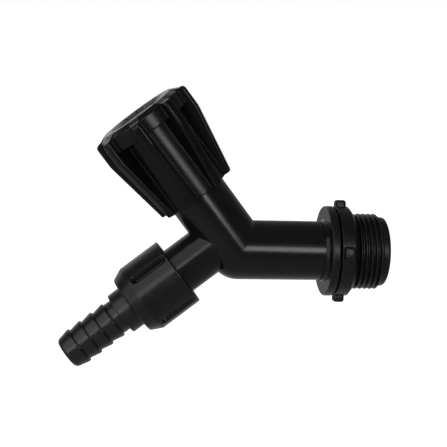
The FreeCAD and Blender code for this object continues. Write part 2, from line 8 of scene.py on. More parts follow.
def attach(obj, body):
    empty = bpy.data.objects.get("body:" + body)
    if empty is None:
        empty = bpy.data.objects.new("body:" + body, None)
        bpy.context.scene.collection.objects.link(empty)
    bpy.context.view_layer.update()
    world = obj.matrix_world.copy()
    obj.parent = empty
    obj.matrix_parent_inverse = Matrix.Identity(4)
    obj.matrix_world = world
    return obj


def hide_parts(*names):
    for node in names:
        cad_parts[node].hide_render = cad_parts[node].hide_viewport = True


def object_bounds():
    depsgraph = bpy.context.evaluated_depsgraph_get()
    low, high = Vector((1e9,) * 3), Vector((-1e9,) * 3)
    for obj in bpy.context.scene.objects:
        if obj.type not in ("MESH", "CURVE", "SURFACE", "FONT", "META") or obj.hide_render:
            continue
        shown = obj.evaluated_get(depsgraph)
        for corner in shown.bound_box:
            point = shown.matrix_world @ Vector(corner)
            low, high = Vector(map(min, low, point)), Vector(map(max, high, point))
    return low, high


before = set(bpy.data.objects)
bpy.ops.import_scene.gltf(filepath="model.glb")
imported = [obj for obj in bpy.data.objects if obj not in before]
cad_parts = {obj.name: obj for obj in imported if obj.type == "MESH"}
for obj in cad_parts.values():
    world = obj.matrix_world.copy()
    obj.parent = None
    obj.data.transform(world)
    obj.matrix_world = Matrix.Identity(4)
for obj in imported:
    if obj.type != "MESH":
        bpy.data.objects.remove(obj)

# Dressing of the plastic garden tap. Each piece is built in the local frame of its axis, with Z along the
# axis, as the solids are. Its sizes are in millimetres, and add_mesh turns them into metres.
MM = 0.001
CAD_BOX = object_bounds()

# Layout of the three axes, as the solids have it
TOWER_ANGLE = math.radians(52.0)
OUTLET_ANGLE = TOWER_ANGLE - math.pi / 2
INLET_REACH = 40.2
BRANCH_RISE = 6.5
TOWER_AXIS = Vector((-math.cos(TOWER_ANGLE), 0, math.sin(TOWER_ANGLE)))
OUTLET_AXIS = Vector((-math.cos(OUTLET_ANGLE), 0, math.sin(OUTLET_ANGLE)))
INLET_AXIS = Vector((1, 0, 0))
BEND_POINT = Vector((-INLET_REACH, 0, 0))
BRANCH_POINT = BEND_POINT + TOWER_AXIS * BRANCH_RISE

# Meshes: vertices this near become one, and a round takes at most this share of the shorter side beside it
MERGE_DISTANCE = 0.002
LARGEST_ROUND_SHARE = 0.45
ROUND_STEPS = 5

# Inlet adapter
LUG_RING_R = 15.7
LUG_RING_BACK = -6.5
LUG_RING_FRONT = -2.1
LUG_TIP_R = 18.0
LUG_BACK = -6.15
LUG_FRONT = -2.45
LUG_WIDTH = 4.6
LUG_TIP_SHARE = 0.94
LUG_SUNK = 1.5
LUG_COUNT = 4
LUG_ROUND = 0.95
LUG_ROUND_STEPS = 4
LUG_TURN = math.radians(-6.0)
THREAD_CREST_R = 13.2205
THREAD_ROOT_R = 12.0585
THREAD_PITCH = 1.814
THREAD_LENGTH = 8.4
THREAD_CHAMFER = 0.9
THREAD_ROOT_SHARE = 0.18
THREAD_FLANK_SHARE = 0.64
THREAD_FADE_START = 0.1
THREAD_FADE_LENGTH = 0.7
THREAD_TUCK = 0.02
THREAD_SIDES = 144
THREAD_ROWS_PER_TURN = 14
ADAPTER_NOSE = 11.4
ADAPTER_NOSE_ROUND = 1.2
ADAPTER_FEMALE_R = 10.5275
ADAPTER_FEMALE_END = 9.8
ADAPTER_LIP_R = 9.0
GASKET_SEAT_R = 13.08
GASKET_SEAT_DEPTH = 1.0

# Knob
KNOB_BOTTOM = 17.9
KNOB_BOTTOM_ROUND = 0.3
KNOB_TOP = 52.2
KNOB_RIB_COUNT = 8
KNOB_RIB_HALF_WIDTH = 1.8
KNOB_RIB_ROUND = 1.0
KNOB_ROOT_ROUND = 0.15
KNOB_RIB_BOTTOM_R = 14.4
KNOB_RIB_TOP_R = 18.5
KNOB_TAPER_TOP = 42.2
KNOB_CROWN = 50.9
KNOB_CROWN_ROUND = 1.5
KNOB_CREST_DROP = 0.65
KNOB_FIRST_RIB = math.radians(33.4)
KNOB_CORE_R = 12.3
KNOB_HEAD_R = 16.0
KNOB_HEAD_BOTTOM = 45.6
KNOB_HEAD_CHAMFER = 1.5
KNOB_DISC_R = 13.7
KNOB_DISH_R = 11.4
KNOB_DISH_DEPTH = 0.9
KNOB_CAP_SEAT_R = 8.7
KNOB_CAP_SEAT = 49.7
KNOB_HUB_HOLE_R = 1.0
KNOB_SKIRT_R = 11.1
KNOB_SKIRT_DEPTH = 11.6
KNOB_SKIRT_INNER_R = 7.0

# One ring of the knob: the rounds' largest shares of a rib's height, and the steps along each part
KNOB_RIB_SHARE = 0.45
KNOB_ROOT_SHARE = 0.3
KNOB_FLUSH = 0.01
KNOB_CREST_STEPS = 3
KNOB_RIB_STEPS = 6
KNOB_FLANK_STEPS = 4
KNOB_ROOT_STEPS = 4
KNOB_CORE_STEPS = 8

# Rings up the knob. The head's step has shares of its width with heights beside its lower edge.
KNOB_BOTTOM_STEPS = 4
KNOB_RINGS_ABOVE_BOTTOM = 0.5
KNOB_RINGS_BELOW_HEAD = 0.4
KNOB_RING_STEP = 0.9
KNOB_HEAD_STEP = ((0, -0.35), (0, -0.04), (0.04, 0), (0.5, 0.02), (0.93, 0.05), (0.99, 0.18), (1, 0.4))
KNOB_RINGS_ABOVE_HEAD_EDGE = 1.2
KNOB_CROWN_STEPS = 8
KNOB_BELOW_SHOULDER = 0.1
KNOB_CHAMFER_SHARES = (0.04, 0.2, 0.4, 0.6, 0.8, 0.96)
KNOB_LEAST_PROUD = 0.02

# Cap of the knob
CAP_R = 8.6
CAP_BOTTOM = 49.75
CAP_TOP = 51.3
CAP_CROWN = 0.5
CAP_MIDDLE_R = 0.01
CAP_SIDES = 128

# Union nut
NUT_BACK = 20.9
NUT_FRONT = 40.8
NUT_R = 12.6
NUT_NOSE_R = 10.6
NUT_CONE_START = 36.6
NUT_NOSE_ROUND = 0.9
NUT_BACK_ROUND = 0.5
NUT_BORE_R = 10.5575
NUT_BORE_END = 36.3
NUT_POCKET_R = 10.0
NUT_INNER_FACE = 38.8
NUT_HOLE_R = 7.95
NUT_SLOT_COUNT = 4
NUT_SLOT_HALF_WIDTH = 1.65
NUT_SLOT_LENGTH = 14.2
NUT_SLOT_END = 35.7
NUT_SLOT_DEPTH = 1.9
NUT_SLOT_SLOPE = 1.45
NUT_FIRST_SLOT = math.radians(42.5)

# Mesh of the nut: fine over the slots, coarse between them, with close stations along its long wall
NUT_FINE_MARGIN = 0.5
NUT_FINE_STEPS = 56
NUT_COARSE_STEPS = 20
NUT_WALL_MARGIN = 0.01
NUT_WALL_SHORTEST = 1
NUT_STATION_STEP = 0.12
NUT_CUT_ABOVE_NOSE = 0.4

# Hose tail
TAIL_BORE_R = 4.2
TAIL_FLANGE_R = 9.6
TAIL_FLANGE_BACK = 36.2
TAIL_FLANGE_FRONT = 38.6
TAIL_COLLAR_R = 7.7
TAIL_COLLAR_END = 45.7
BARB_ROOT_R = 6.0
BARB_CREST_R = 6.65
BARB_FIRST_CREST = 49.2
BARB_PITCH = 4.8
BARB_COUNT = 4
BARB_LAND = 0.8
BARB_GROOVE_WIDTH = 0.36
BARB_GROOVE_DEPTH = 0.42
TAIL_END = 68.7
TAIL_LIP_R = 4.45
TAIL_MOUTH_CHAMFER = 0.2
TAIL_NOSE_ROUND = 2.0
TAIL_NOSE_STEPS = 8
TAIL_SIDES = 112

# Plastics: noise behind the colour's clouds, the drift of the gloss and the grain
CLOUD_SCALE = 90
CLOUD_DETAIL = 4
CLOUD_RANGE = (0.35, 0.68)
DRIFT_SCALE = 260
DRIFT_DETAIL = 5
DRIFT_RANGE = (0.3, 0.7)
PLASTIC_DRIFT = (0.88, 1.14)
GRAIN_DETAIL = 3

# The body's plastic grows duller from the edge of its flange on, towards the inlet
FLANGE_EDGE = -10.1
MATT_REACH = 0.5
MATT_EXTRA = 0.16

# Metals: one noise for the colour and the gloss, with the least and the greatest share of each
METAL_SCALE = 900
METAL_DETAIL = 4
METAL_TINT = (0.85, 1.08)
METAL_DRIFT = (0.8, 1.25)

# Camera, fitted to the photograph
IMAGE_PIXELS = 447
CAMERA_TARGET = Vector((-45.5, 0, 9.04)) * MM
CAMERA_DISTANCE = 415 * MM
CAMERA_FOCAL_PIXELS = 1202
CAMERA_YAW = math.radians(8.2)
CAMERA_PITCH = math.radians(7.5)
CAMERA_ROLL = math.radians(2.0)
CAMERA_CLIP = (0.01, 20)
SENSOR_WIDTH = 36.0

# Floor under the tap, which hangs above it as on a wall. For gloss it carries a painted pool of light: it
# loses more of its brightness further away, in metres.
FLOOR_DROP = 500 * MM
FLOOR_SIZE = 14.0
FLOOR_GREYS = (0.70, 0.72)
FLOOR_NOISE_SCALE = 3
FLOOR_LIFT = 0.90
FLOOR_NEAR = 0.6
FLOOR_FAR = 2.8
FLOOR_NEAR_LOSS = 0.50
FLOOR_FAR_LOSS = 0.62

# Surroundings: even light on the tap, and for gloss a dim room with a bright corner behind it on the left
AMBIENT_LEVEL = 0.30
HORIZON_LEVEL = 0.14
CEILING_LEVEL = 0.10
CEILING_RISE = (-0.05, 0.6)
CORNER_LEVEL = 1.7
CORNER_BEHIND = (0.5, 0.9)
CORNER_LEFT = (0.15, -0.15)
CORNER_ABOVE = (-0.02, 0.12)

# Lamps before the tap: name, direction across and up, distance and size in metres, watts, turn in degrees
SOFTBOXES = [
    ("key", (0.245, 0.160), 0.8, (0.29, 0.20), 3.2, -34),
    ("key spill", (0.28, 0.26), 0.8, (0.36, 0.34), 0.45, -34),
    ("left card", (-0.55, 0.02), 1.6, (1.9, 0.34), 12.5, 43.5),
    ("left panel", (-0.70, 0.37), 1.6, (2.4, 1.9), 48.0, 51.5),
]


# Geometry

def local_frame(origin, axis):
    """Local Z along the axis and local X along the row's Y, away from the camera."""
    x_axis = Vector((0, 1, 0))
    y_axis = axis.cross(x_axis)
    turn = Matrix((x_axis, y_axis, axis)).transposed().to_4x4()
    return Matrix.Translation(origin) @ turn


INLET = local_frame(Vector((0, 0, 0)), INLET_AXIS)
TOWER = local_frame(BRANCH_POINT, TOWER_AXIS)
OUTLET = local_frame(BRANCH_POINT, OUTLET_AXIS)


def add_mesh(name, vertices, faces, place, material, body, replaced):
    """A smooth-shaded piece from millimetre vertices in a local frame."""
    mesh = bpy.data.meshes.new(name)
    points = [(place @ Vector(v)) * MM for v in vertices]
    mesh.from_pydata(points, [], faces)
    work = bmesh.new()
    work.from_mesh(mesh)
    bmesh.ops.remove_doubles(work, verts=work.verts, dist=MERGE_DISTANCE * MM)
    bmesh.ops.recalc_face_normals(work, faces=work.faces)
    work.to_mesh(mesh)
    work.free()
    mesh.shade_smooth()
    mesh.materials.append(material)
    piece = bpy.data.objects.new(name, mesh)
    bpy.context.scene.collection.objects.link(piece)
    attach(piece, body)
    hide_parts(*replaced)


def clamp(value):
    """The value, held between 0 and 1."""
    return min(1, max(0, value))


def polar(radius, angle, z):
    """Point at a radius and an angle round local Z."""
    return radius * math.cos(angle), radius * math.sin(angle), z


def turned(x, y, z, angle):
    """Point turned round local Z."""
    return x * math.cos(angle) - y * math.sin(angle), x * math.sin(angle) + y * math.cos(angle), z


def rounded_profile(corners, closed=True, hold=0.06):
    """Points from (radius, station, round) corners: each round is an arc between two holding points."""
    count = len(corners)
    points = []
    for k, (radius, station, round_r) in enumerate(corners):
        here = Vector((radius, station))
        at_end = not closed and k in (0, count - 1)
        if round_r <= 0 or at_end:
            points.append(here)
            continue
        before = Vector(corners[k - 1][:2]) - here
        after = Vector(corners[(k + 1) % count][:2]) - here
        largest = LARGEST_ROUND_SHARE * min(before.length, after.length)
        before.normalize()
        after.normalize()
        half_angle = before.angle(after) / 2
        cut = round_r / math.tan(half_angle)
        if cut > largest:
            cut = largest
            round_r = cut * math.tan(half_angle)
        centre = here + (before + after).normalized() * (round_r / math.sin(half_angle))
        start = here + before * cut - centre
        end = here + after * cut - centre
        sweep = start.angle_signed(end)
        points.append(here + before * (cut + hold))
        for step in range(ROUND_STEPS + 1):
            x, y, _ = turned(start.x, start.y, 0, -sweep * step / ROUND_STEPS)
            points.append(centre + Vector((x, y)))
        points.append(here + after * (cut + hold))
    return points


def ring_strip(rings, closed_rings=True, closed_loop=False):
    """Vertices of rings that all have the same number of points, and the quads between them."""
    vertices = [tuple(point) for ring in rings for point in ring]
    width = len(rings[0])
    faces = []
    row_count = len(rings) if closed_loop else len(rings) - 1
    for row in range(row_count):
        next_row = (row + 1) % len(rings)
        for side in range(width if closed_rings else width - 1):
            next_side = (side + 1) % width
            faces.append((
                row * width + side, row * width + next_side,
                next_row * width + next_side, next_row * width + side,
            ))
    return vertices, faces


def lathe(profile, sides, closed=True):
    """Vertices and faces of a solid of revolution about local Z."""
    angles = [2 * math.pi * side / sides for side in range(sides)]
    rings = [[polar(radius, angle, station) for angle in angles] for radius, station in profile]
    return ring_strip(rings, closed_loop=closed)


# Node trees

def feed(tree, socket, value):
    """Link an output to a socket, or set a plain value on it."""
    if isinstance(value, bpy.types.NodeSocket):
        tree.links.new(value, socket)
    else:
        socket.default_value = value


def calculate(tree, operation, first, second):
    """Output of a Math node on two outputs or plain values."""
    step = tree.nodes.new("ShaderNodeMath")
    step.operation = operation
    feed(tree, step.inputs[0], first)
    feed(tree, step.inputs[1], second)
    return step.outputs["Value"]


def remap(tree, value, from_low, from_high, to_low=0.0, to_high=1.0, smooth=False):
    """Output of a Map Range node, straight or with soft ends."""
    step = tree.nodes.new("ShaderNodeMapRange")
    if smooth:
        step.interpolation_type = "SMOOTHSTEP"
    step.inputs["From Min"].default_value = from_low
    step.inputs["From Max"].default_value = from_high
    step.inputs["To Min"].default_value = to_low
    step.inputs["To Max"].default_value = to_high
    tree.links.new(value, step.inputs["Value"])
    return step.outputs["Result"]


def noise(tree, place, scale, detail=2.0):
    """Strength of a noise texture at a place."""
    texture = tree.nodes.new("ShaderNodeTexNoise")
    texture.inputs["Scale"].default_value = scale
    texture.inputs["Detail"].default_value = detail
    tree.links.new(place, texture.inputs["Vector"])
    return texture.outputs["Fac"]


def blend(tree, share, low_colour, high_colour, span=(0.0, 1.0)):
    """Colour between two others, as the share runs over the span."""
    ramp = tree.nodes.new("ShaderNodeValToRGB")
    low, high = ramp.color_ramp.elements
    low.position, high.position = span
    low.color = list(low_colour) + [1]
    high.color = list(high_colour) + [1]
    tree.links.new(share, ramp.inputs["Fac"])
    return ramp.outputs["Color"]


def parts_of(tree, vector):
    """Outputs X, Y and Z of a vector."""
    step = tree.nodes.new("ShaderNodeSeparateXYZ")
    tree.links.new(vector, step.inputs["Vector"])
    return step.outputs


def new_material(name):
    """A material, its node tree, its shader and the place that its textures follow."""
    material = bpy.data.materials.new(name)
    material.use_nodes = True
    tree = material.node_tree
    place = tree.nodes.new("ShaderNodeTexCoord").outputs["Object"]
    return material, tree, tree.nodes["Principled BSDF"], place


# Materials

def moulded_plastic(name, colour, roughness, grain_size, grain_height, specular, cloud=0.25, matt_from=None):
    """Moulded plastic: cloudy colour, fine grain and a drifting gloss, duller past matt_from along X."""
    material, tree, shader, place = new_material(name)
    shader.inputs["Specular IOR Level"].default_value = specular

    clouds = noise(tree, place, CLOUD_SCALE, CLOUD_DETAIL)
    darker = [c * (1 - cloud) for c in colour]
    lighter = [c * (1 + cloud) for c in colour]
    feed(tree, shader.inputs["Base Color"], blend(tree, clouds, darker, lighter, CLOUD_RANGE))

    drift = noise(tree, place, DRIFT_SCALE, DRIFT_DETAIL)
    glossier, duller = [roughness * share for share in PLASTIC_DRIFT]
    gloss = remap(tree, drift, *DRIFT_RANGE, glossier, duller)
    if matt_from is not None:
        along = parts_of(tree, place)["X"]
        extra = remap(tree, along, matt_from * MM, (matt_from + MATT_REACH) * MM, 0.0, MATT_EXTRA)
        gloss = calculate(tree, "ADD", gloss, extra)
    feed(tree, shader.inputs["Roughness"], gloss)

    bump = tree.nodes.new("ShaderNodeBump")
    bump.inputs["Strength"].default_value = 1.0
    bump.inputs["Distance"].default_value = grain_height * MM
    feed(tree, bump.inputs["Height"], noise(tree, place, 1 / (grain_size * MM), GRAIN_DETAIL))
    feed(tree, shader.inputs["Normal"], bump.outputs["Normal"])
    return material


def metal(name, colour, roughness):
    """Turned or plated metal: fine noise in the gloss and a faint change of colour."""
    material, tree, shader, place = new_material(name)
    shader.inputs["Metallic"].default_value = 1.0
    grain = noise(tree, place, METAL_SCALE, METAL_DETAIL)
    darker, lighter = [[min(1, c * share) for c in colour] for share in METAL_TINT]
    feed(tree, shader.inputs["Base Color"], blend(tree, grain, darker, lighter))
    glossier, duller = [roughness * share for share in METAL_DRIFT]
    feed(tree, shader.inputs["Roughness"], remap(tree, grain, 0.0, 1.0, glossier, duller))
    return material


# After the name: colour, roughness, size and height of the grain in millimetres, specular level
BODY_PLASTIC = moulded_plastic("body plastic", (0.0019, 0.0019, 0.0018), 0.18, 0.60, 0.003, 0.100,
                               matt_from=FLANGE_EDGE)
KNOB_PLASTIC = moulded_plastic("knob plastic", (0.0014, 0.0014, 0.0014), 0.21, 0.60, 0.003, 0.076)
ADAPTER_PLASTIC = moulded_plastic("adapter plastic", (0.0020, 0.0020, 0.0019), 0.34, 0.50, 0.010, 0.100)
NUT_PLASTIC = moulded_plastic("nut plastic", (0.0023, 0.0023, 0.0022), 0.25, 0.34, 0.012, 0.112)
TAIL_PLASTIC = moulded_plastic("tail plastic", (0.0022, 0.0022, 0.0021), 0.29, 0.36, 0.012, 0.150)
CAP_PLASTIC = moulded_plastic("cap plastic", (0.004, 0.004, 0.004), 0.55, 0.40, 0.09, 0.16)
RUBBER = moulded_plastic("rubber", (0.004, 0.004, 0.004), 0.7, 0.25, 0.02, 0.2)
ACETAL = moulded_plastic("acetal", (0.6, 0.6, 0.58), 0.4, 0.5, 0.008, 0.5, cloud=0.04)
BRASS = metal("brass", (0.72, 0.52, 0.24), 0.3)
STEEL = metal("steel", (0.55, 0.55, 0.56), 0.35)

NODE_MATERIALS = {
    "tap_body": BODY_PLASTIC, "inlet_adapter": ADAPTER_PLASTIC, "inlet_gasket": RUBBER,
    "bonnet": ACETAL, "bonnet_seal_ring": RUBBER, "spindle": BRASS,
    "stem_seal_ring_lower": RUBBER, "stem_seal_ring_upper": RUBBER, "slip_washer": ACETAL,
    "jumper_valve": BRASS, "tap_washer": RUBBER, "washer_screw": BRASS,
    "knob": KNOB_PLASTIC, "knob_cap": CAP_PLASTIC, "knob_screw": STEEL, "knob_screw_washer": STEEL,
    "union_nut": NUT_PLASTIC, "hose_tail": TAIL_PLASTIC, "tail_washer": RUBBER,
}


def dress_nodes():
    """Each solid gets its material from the list above, whether a piece replaces it or not."""
    for name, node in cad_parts.items():
        node.data.materials.clear()
        node.data.materials.append(NODE_MATERIALS[name])


# Knob

def knob_ring(crest_r, core_r, crest_z, core_z):
    """One ring round the knob: crest, rounded edge, flank, rounded root and core for each rib."""
    proud = crest_r - core_r
    edge = min(KNOB_RIB_ROUND, proud * KNOB_RIB_SHARE)
    root = min(KNOB_ROOT_ROUND, proud * KNOB_ROOT_SHARE)
    half = KNOB_RIB_HALF_WIDTH
    outline = []
    for step in range(KNOB_CREST_STEPS + 1):
        outline.append((crest_r, (half - edge) * step / KNOB_CREST_STEPS))
    for step in range(1, KNOB_RIB_STEPS + 1):
        angle = math.pi / 2 * step / KNOB_RIB_STEPS
        outline.append((crest_r - edge + edge * math.cos(angle), half - edge + edge * math.sin(angle)))
    core_meet = math.sqrt(max(core_r ** 2 - (half + root) ** 2, 0))
    root_x = core_meet + root
    flank_top = crest_r - edge
    for step in range(1, KNOB_FLANK_STEPS + 1):
        outline.append((flank_top + (root_x - flank_top) * step / KNOB_FLANK_STEPS, half))
    for step in range(1, KNOB_ROOT_STEPS + 1):
        angle = math.pi / 2 * step / KNOB_ROOT_STEPS
        outline.append((root_x - root * math.sin(angle), half + root - root * math.cos(angle)))
    half_pitch = math.pi / KNOB_RIB_COUNT
    last_angle = math.atan2(outline[-1][1], outline[-1][0])
    for step in range(1, KNOB_CORE_STEPS + 1):
        angle = last_angle + (half_pitch - last_angle) * step / KNOB_CORE_STEPS
        outline.append((core_r * math.cos(angle), core_r * math.sin(angle)))

    points = []
    both_sides = [(x, -y) for x, y in reversed(outline[1:-1])] + outline
    for rib in range(KNOB_RIB_COUNT):
        turn = KNOB_FIRST_RIB + 2 * half_pitch * rib
        for x, y in both_sides:
            share = 0 if proud < KNOB_FLUSH else clamp((math.hypot(x, y) - core_r) / proud)
            z = core_z + (crest_z - core_z) * share
            points.append(turned(x, y, z, turn))
    return points


def crest_radius(z):
    """Radius of the ribs' crests at a height: a straight taper, then a straight top."""
    share = min(1, (z - KNOB_BOTTOM) / (KNOB_TAPER_TOP - KNOB_BOTTOM))
    return KNOB_RIB_BOTTOM_R + (KNOB_RIB_TOP_R - KNOB_RIB_BOTTOM_R) * share


def knob():
    """The knob as rings from the inside of its skirt, up its ribs and over the head into the dish."""
    rings = []

    def circles(path):
        for radius, z in path:
            rings.append(knob_ring(radius, radius, z, z))

    # Inside of the skirt, down to its lip
    skirt_top = KNOB_BOTTOM + KNOB_SKIRT_DEPTH
    circles([
        (KNOB_SKIRT_INNER_R, skirt_top), (KNOB_SKIRT_R - 0.3, skirt_top), (KNOB_SKIRT_R, skirt_top - 0.3),
        (KNOB_SKIRT_R, KNOB_BOTTOM + 0.35), (KNOB_SKIRT_R + 0.08, KNOB_BOTTOM + 0.1),
        (KNOB_SKIRT_R + 0.25, KNOB_BOTTOM),
    ])
    # Bottom face, out to the ribs with a small round
    for step in range(KNOB_BOTTOM_STEPS + 1):
        angle = math.pi / 2 * step / KNOB_BOTTOM_STEPS
        inset = KNOB_BOTTOM_ROUND * (1 - math.sin(angle))
        z = KNOB_BOTTOM + KNOB_BOTTOM_ROUND * (1 - math.cos(angle))
        rings.append(knob_ring(crest_radius(z) - inset, KNOB_CORE_R - inset, z, z))
    z = KNOB_BOTTOM + KNOB_RINGS_ABOVE_BOTTOM
    while z < KNOB_HEAD_BOTTOM - KNOB_RINGS_BELOW_HEAD:
        rings.append(knob_ring(crest_radius(z), KNOB_CORE_R, z, z))
        z += KNOB_RING_STEP
    # The head steps out from the core with small rounds
    for share, lift in KNOB_HEAD_STEP:
        radius = KNOB_CORE_R + (KNOB_HEAD_R - KNOB_CORE_R) * share
        z = KNOB_HEAD_BOTTOM + lift
        rings.append(knob_ring(KNOB_RIB_TOP_R, radius, z, z))
    z = KNOB_HEAD_BOTTOM + KNOB_RINGS_ABOVE_HEAD_EDGE
    crown_start = KNOB_CROWN - KNOB_CROWN_ROUND
    while z < crown_start:
        rings.append(knob_ring(KNOB_RIB_TOP_R, KNOB_HEAD_R, z, z))
        z += KNOB_RING_STEP
    # The crown: the ribs' top corners are round, the head has a chamfer
    head_shoulder = KNOB_TOP - KNOB_HEAD_CHAMFER
    slope_end_z = KNOB_TOP - KNOB_CREST_DROP
    for step in range(KNOB_CROWN_STEPS + 1):
        angle = math.pi / 2 * step / KNOB_CROWN_STEPS
        crest = KNOB_RIB_TOP_R - KNOB_CROWN_ROUND * (1 - math.cos(angle))
        crest_z = crown_start + KNOB_CROWN_ROUND * math.sin(angle)
        core_rise = head_shoulder - KNOB_BELOW_SHOULDER - crown_start
        core_z = crown_start + core_rise * step / KNOB_CROWN_STEPS
        rings.append(knob_ring(crest, KNOB_HEAD_R, crest_z, core_z))
    inner_crest = KNOB_RIB_TOP_R - KNOB_CROWN_ROUND
    for share in KNOB_CHAMFER_SHARES:
        head = KNOB_HEAD_R - (KNOB_HEAD_R - KNOB_DISC_R) * share
        head_z = head_shoulder + KNOB_HEAD_CHAMFER * share
        crest = max(head + KNOB_LEAST_PROUD, inner_crest - (inner_crest - KNOB_DISC_R) * share)
        crest_z = KNOB_CROWN + (slope_end_z - KNOB_CROWN) * share
        rings.append(knob_ring(crest, head, max(crest_z, head_z), head_z))
    # The top disc, the dish and the seat of the cap
    dish_z = KNOB_TOP - KNOB_DISH_DEPTH
    circles([
        (KNOB_DISC_R + 0.03, KNOB_TOP - 0.03), (KNOB_DISC_R - 0.12, KNOB_TOP), (KNOB_DISC_R - 0.3, KNOB_TOP),
        (KNOB_DISH_R + 0.35, KNOB_TOP), (KNOB_DISH_R + 0.1, KNOB_TOP - 0.01),
        (KNOB_DISH_R - 0.15, KNOB_TOP - 0.10), (KNOB_CAP_SEAT_R + 0.3, dish_z + 0.12),
        (KNOB_CAP_SEAT_R + 0.06, dish_z), (KNOB_CAP_SEAT_R, dish_z - 0.1),
        (KNOB_CAP_SEAT_R, KNOB_CAP_SEAT + 0.1), (KNOB_CAP_SEAT_R - 0.1, KNOB_CAP_SEAT),
        (KNOB_HUB_HOLE_R, KNOB_CAP_SEAT),
    ])
    vertices, faces = ring_strip(rings)
    add_mesh("knob_skin", vertices, faces, TOWER, KNOB_PLASTIC, "handle", ("knob",))


def knob_cap():
    """The cap as a disc with a small crown and a rounded edge."""
    corners = [
        (CAP_MIDDLE_R, CAP_BOTTOM, 0), (CAP_R, CAP_BOTTOM, 0.1), (CAP_R, CAP_TOP - CAP_CROWN, 0.12),
        (CAP_R - CAP_CROWN, CAP_TOP, 0.3), (CAP_R - 2.0, CAP_TOP + 0.03, 0.3),
        (CAP_MIDDLE_R, CAP_TOP + 0.05, 0),
    ]
    vertices, faces = lathe(rounded_profile(corners, closed=False), CAP_SIDES, closed=False)
    add_mesh("knob_cap_disc", vertices, faces, TOWER, CAP_PLASTIC, "handle", ("knob_cap",))


# Inlet adapter

def thread_radius(turn_share, z):
    """Radius of the male thread at a place in its turn, fading out at both ends."""
    wave = abs(turn_share - 0.5) * 2
    flank = clamp((wave - THREAD_ROOT_SHARE) / THREAD_FLANK_SHARE)
    height = flank * flank * (3 - 2 * flank)
    fade_in = clamp((z - THREAD_FADE_START) / THREAD_FADE_LENGTH)
    radius = THREAD_ROOT_R + (THREAD_CREST_R - THREAD_ROOT_R) * height * fade_in
    over = z - THREAD_LENGTH
    if over > 0:
        cone_r = THREAD_CREST_R - (THREAD_CREST_R - THREAD_ROOT_R) * min(1, over / THREAD_CHAMFER)
        radius = min(radius, cone_r)
    return radius


def adapter_thread():
    """The thread as a grid sheared along its helix, between the shoulder and the nose."""
    end = THREAD_LENGTH + THREAD_CHAMFER
    turns = math.ceil(end / THREAD_PITCH) + 1
    rings = []
    for row in range(turns * THREAD_ROWS_PER_TURN + 1):
        turns_up = row / THREAD_ROWS_PER_TURN
        ring = []
        for side in range(THREAD_SIDES + 1):
            share = side / THREAD_SIDES
            z = (turns_up - 1 + share) * THREAD_PITCH
            turn_share = turns_up % 1.0
            z_in = min(end, max(0, z))
            if z_in != z:
                turn_share = ((z_in / THREAD_PITCH) - share) % 1.0
            ring.append(polar(thread_radius(turn_share, z_in), 2 * math.pi * share, z_in))
        rings.append(ring)
    return ring_strip(rings, closed_rings=False)


def adapter_ring():
    """Lug ring, shoulder cone and nose, with the female thread's bore inside."""
    corners = [
        (THREAD_ROOT_R, THREAD_TUCK, 0), (THREAD_CREST_R - 0.1, 0, 0.1),
        (LUG_RING_R, LUG_RING_FRONT, 0.25), (LUG_RING_R, LUG_RING_BACK, 0.3),
        (GASKET_SEAT_R, LUG_RING_BACK, 0.15), (GASKET_SEAT_R, LUG_RING_BACK + GASKET_SEAT_DEPTH, 0),
        (ADAPTER_FEMALE_R, LUG_RING_BACK + GASKET_SEAT_DEPTH, 0.1),
        (ADAPTER_FEMALE_R, ADAPTER_FEMALE_END, 0), (ADAPTER_LIP_R, ADAPTER_FEMALE_END, 0.1),
        (ADAPTER_LIP_R, ADAPTER_NOSE, 0.3), (THREAD_ROOT_R, ADAPTER_NOSE, ADAPTER_NOSE_ROUND),
        (THREAD_ROOT_R, THREAD_LENGTH + THREAD_CHAMFER - THREAD_TUCK, 0),
    ]
    return lathe(rounded_profile(corners, closed=False), THREAD_SIDES, closed=False)


def rounded_lug(turn):
    """One wrench lug as a block with rounded edges, standing on the ring."""
    work = bmesh.new()
    bmesh.ops.create_cube(work, size=1)
    inner = LUG_RING_R - LUG_SUNK
    length = LUG_TIP_R - inner
    for vertex in work.verts:
        vertex.co.x = inner + (vertex.co.x + 0.5) * length
        vertex.co.y *= LUG_WIDTH * (LUG_TIP_SHARE if vertex.co.x > LUG_RING_R else 1.0)
        vertex.co.z = (LUG_BACK + LUG_FRONT) / 2 + vertex.co.z * (LUG_FRONT - LUG_BACK)
        vertex.co.x = min(vertex.co.x, math.sqrt(LUG_TIP_R ** 2 - vertex.co.y ** 2))
    bmesh.ops.bevel(work, geom=list(work.edges), offset=LUG_ROUND, segments=LUG_ROUND_STEPS, profile=0.5,
                    affect="EDGES")
    work.verts.index_update()
    vertices = [turned(*vertex.co, turn) for vertex in work.verts]
    faces = [tuple(v.index for v in face.verts) for face in work.faces]
    work.free()
    return vertices, faces


def inlet_adapter():
    """The ring with its cone and nose, the thread and the lugs as one piece."""
    vertices, faces = adapter_ring()
    parts = [adapter_thread()]
    parts += [rounded_lug(LUG_TURN + 2 * math.pi * k / LUG_COUNT) for k in range(LUG_COUNT)]
    for more_vertices, more_faces in parts:
        start = len(vertices)
        vertices = vertices + more_vertices
        faces = faces + [tuple(index + start for index in face) for face in more_faces]
    add_mesh("inlet_adapter_skin", vertices, faces, INLET, ADAPTER_PLASTIC, "tap",
             ("inlet_adapter",))


# Union nut

def slot_depth(along, across):
    """Depth of a round-ended grip slot with sloping sides at a place on the nut."""
    half = NUT_SLOT_HALF_WIDTH
    slot_start = NUT_SLOT_END - NUT_SLOT_LENGTH
    low, high = slot_start + half, NUT_SLOT_END - half
    past = max(low - along, 0, along - high)
    inside = half - math.hypot(past, across)
    return NUT_SLOT_DEPTH * clamp(inside / NUT_SLOT_SLOPE)


